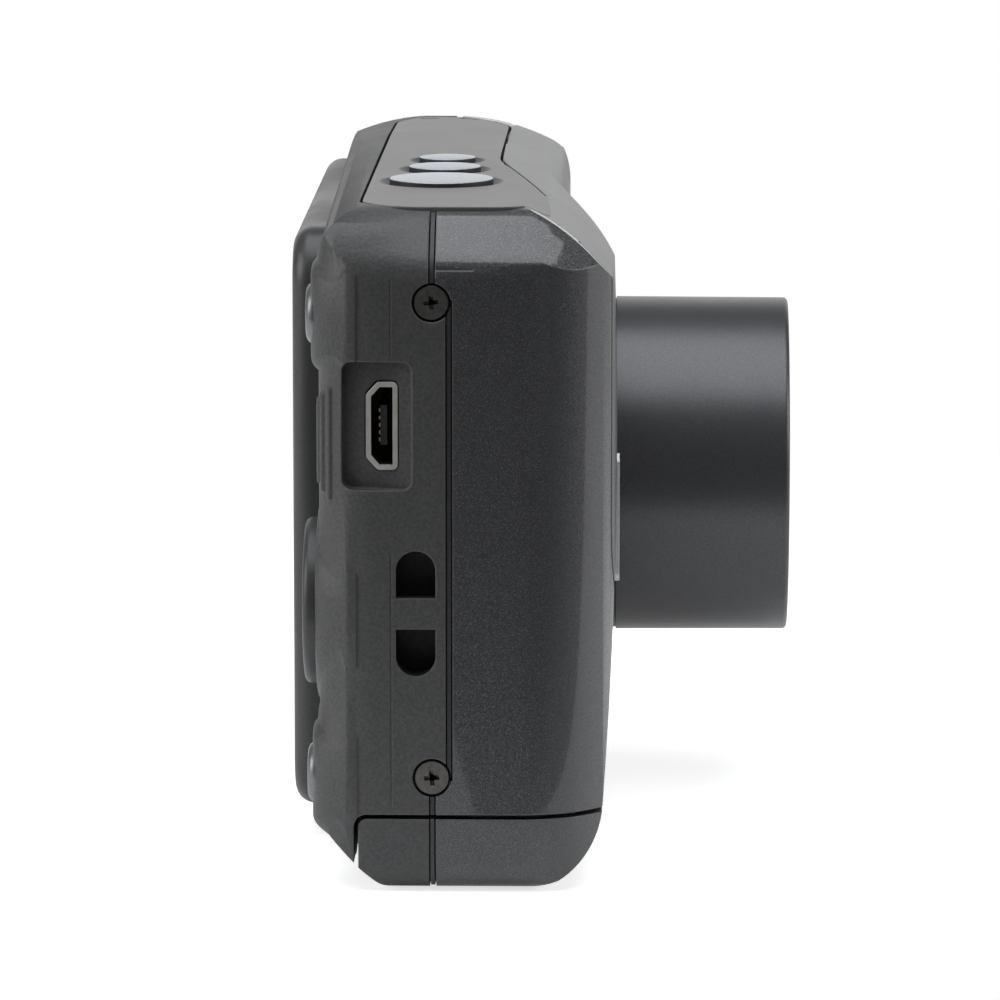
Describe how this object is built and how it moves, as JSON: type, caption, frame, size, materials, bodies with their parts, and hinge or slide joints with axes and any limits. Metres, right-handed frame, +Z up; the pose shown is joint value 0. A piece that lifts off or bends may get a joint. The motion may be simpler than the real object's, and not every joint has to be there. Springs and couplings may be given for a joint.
{
  "type": "compact camera",
  "caption": "Compact digital camera with a retracting lens, shown extended, press buttons, rear screen and control pad, a sliding and hinged battery door and a tripod socket.",
  "frame": {"origin": "centre of the tripod socket's mouth, on the bottom face, straight below the lens axis", "axes": "+Z up; the lens looks along -Y; +X runs from the grip end to the far end"},
  "size_m": [0.093, 0.0458, 0.0611],
  "materials": {
    "front_shell": "gloss with fine flakes",
    "front_cover": "satin",
    "rear_shell": "fine grain",
    "deck_plate": "satin",
    "lens": "satin",
    "button": "silver satin",
    "accent": "satin",
    "screw": "blackened",
    "port": "nickel",
    "steel": "satin",
    "brass": "satin",
    "cell": "satin",
    "black": "matte",
    "board": "satin",
    "glass": "clear",
    "screen": "gloss"
  },
  "bodies": {
    "body": {"front_shell": "front_shell", "rear_shell": "rear_shell", "seam_strip": "rear_shell", "deck_plate": "deck_plate", "front_cover": "front_cover", "lens_collar": "lens", "lens_housing": "black", "grip_accent": "accent", "lcd_bezel": "rear_shell", "lcd_window": "glass", "lcd_panel": "screen", "side_screws": "screw", "bottom_screws": "screw", "usb_shell": "port", "usb_tongue": "black", "usb_contacts": "brass", "tripod_socket": "steel", "flash_window": "glass", "flash_reflector": "accent", "flash_tube": "glass", "focus_lamp": "glass", "main_board": "board", "top_board": "board", "image_sensor": "board", "focus_rods": "steel", "zoom_motor": "steel", "gearbox": "black", "flash_capacitor": "cell", "speaker": "black", "battery_cells": "cell", "battery_bay": "black", "bay_contacts": "steel", "memory_card": "black", "card_slot": "black", "door_bracket": "steel"},
    "outer_barrel": {"outer_barrel": "lens"},
    "inner_barrel": {"inner_barrel": "lens", "front_ring": "lens", "front_lens": "glass"},
    "blade_upper": {"blade_upper": "black"},
    "blade_lower": {"blade_lower": "black"},
    "cam": {"cam_tube": "black"},
    "focus": {"focus_carrier": "black", "focus_lens": "glass"},
    "pad_rocker": {"pad_rocker": "black"},
    "control_pad": {"control_pad": "rear_shell"},
    "door_pin": {"door_pin": "steel"},
    "door": {"battery_door": "rear_shell", "battery_door_face": "front_shell", "door_contact": "steel"},
    "shutter_button": {"shutter_button": "button"},
    "power_button": {"power_button": "button"},
    "mode_button": {"mode_button": "button"},
    "zoom_wide_button": {"zoom_wide_button": "button"},
    "zoom_tele_button": {"zoom_tele_button": "button"},
    "playback_button": {"playback_button": "button"},
    "delete_button": {"delete_button": "button"},
    "set_button": {"set_button": "button"}
  },
  "joints": [
    {"name": "lens_retract", "type": "slide", "parent": "body", "child": "outer_barrel", "axis": [0, 1, 0], "range_m": [0, 0.0156]},
    {"name": "zoom", "type": "slide", "parent": "outer_barrel", "child": "inner_barrel", "axis": [0, -1, 0], "range_m": [0, 0.008]},
    {"name": "cam_turn", "type": "hinge", "parent": "body", "child": "cam", "pos_m": [0, 0, 0.0305], "axis": [0, 1, 0], "range_deg": [0, 101]},
    {"name": "upper_blade_close", "type": "hinge", "parent": "inner_barrel", "child": "blade_upper", "pos_m": [-0.0105, -0.0279, 0.0335], "axis": [0, 1, 0], "range_deg": [0, 34]},
    {"name": "lower_blade_close", "type": "hinge", "parent": "inner_barrel", "child": "blade_lower", "pos_m": [0.0105, -0.0279, 0.0275], "axis": [0, 1, 0], "range_deg": [0, 34]},
    {"name": "focus", "type": "slide", "parent": "body", "child": "focus", "axis": [0, 1, 0], "range_m": [-0.0008, 0.0008]},
    {"name": "pad_tilt_up_down", "type": "hinge", "parent": "body", "child": "pad_rocker", "pos_m": [-0.0425, 0.0106, 0.0244], "axis": [1, 0, 0], "range_deg": [-2.2, 2.2], "stiffness_Nm_per_rad": 0.05},
    {"name": "pad_tilt_left_right", "type": "hinge", "parent": "pad_rocker", "child": "control_pad", "pos_m": [-0.0425, 0.0106, 0.0244], "axis": [0, 0, 1], "range_deg": [-2.2, 2.2], "stiffness_Nm_per_rad": 0.05},
    {"name": "door_slide", "type": "slide", "parent": "body", "child": "door_pin", "axis": [-1, 0, 0], "range_m": [0, 0.0025]},
    {"name": "door_open", "type": "hinge", "parent": "door_pin", "child": "door", "pos_m": [-0.0178, 0, 0.0026], "axis": [0, -1, 0], "range_deg": [0, 90]},
    {"name": "shutter_press", "type": "slide", "parent": "body", "child": "shutter_button", "axis": [0, 0, -1], "range_m": [0, 0.0006], "stiffness_N_per_m": 400},
    {"name": "power_press", "type": "slide", "parent": "body", "child": "power_button", "axis": [0, 0, -1], "range_m": [0, 0.0006], "stiffness_N_per_m": 400},
    {"name": "mode_press", "type": "slide", "parent": "body", "child": "mode_button", "axis": [0, 0, -1], "range_m": [0, 0.0006], "stiffness_N_per_m": 400},
    {"name": "zoom_wide_press", "type": "slide", "parent": "body", "child": "zoom_wide_button", "axis": [0, -1, 0], "range_m": [0, 0.0004], "stiffness_N_per_m": 400},
    {"name": "zoom_tele_press", "type": "slide", "parent": "body", "child": "zoom_tele_button", "axis": [0, -1, 0], "range_m": [0, 0.0004], "stiffness_N_per_m": 400},
    {"name": "playback_press", "type": "slide", "parent": "body", "child": "playback_button", "axis": [0, -1, 0], "range_m": [0, 0.0004], "stiffness_N_per_m": 400},
    {"name": "delete_press", "type": "slide", "parent": "body", "child": "delete_button", "axis": [0, -1, 0], "range_m": [0, 0.0004], "stiffness_N_per_m": 400},
    {"name": "set_press", "type": "slide", "parent": "body", "child": "set_button", "axis": [0, -1, 0], "range_m": [0, 0.0004], "stiffness_N_per_m": 400}
  ],
  "couplings": [
    {"joint": "cam_turn", "follows": "lens_retract", "rad_per_m": 111.8},
    {"joint": "upper_blade_close", "follows": "lens_retract", "rad_per_m": 38},
    {"joint": "lower_blade_close", "follows": "lens_retract", "rad_per_m": 38}
  ]
}
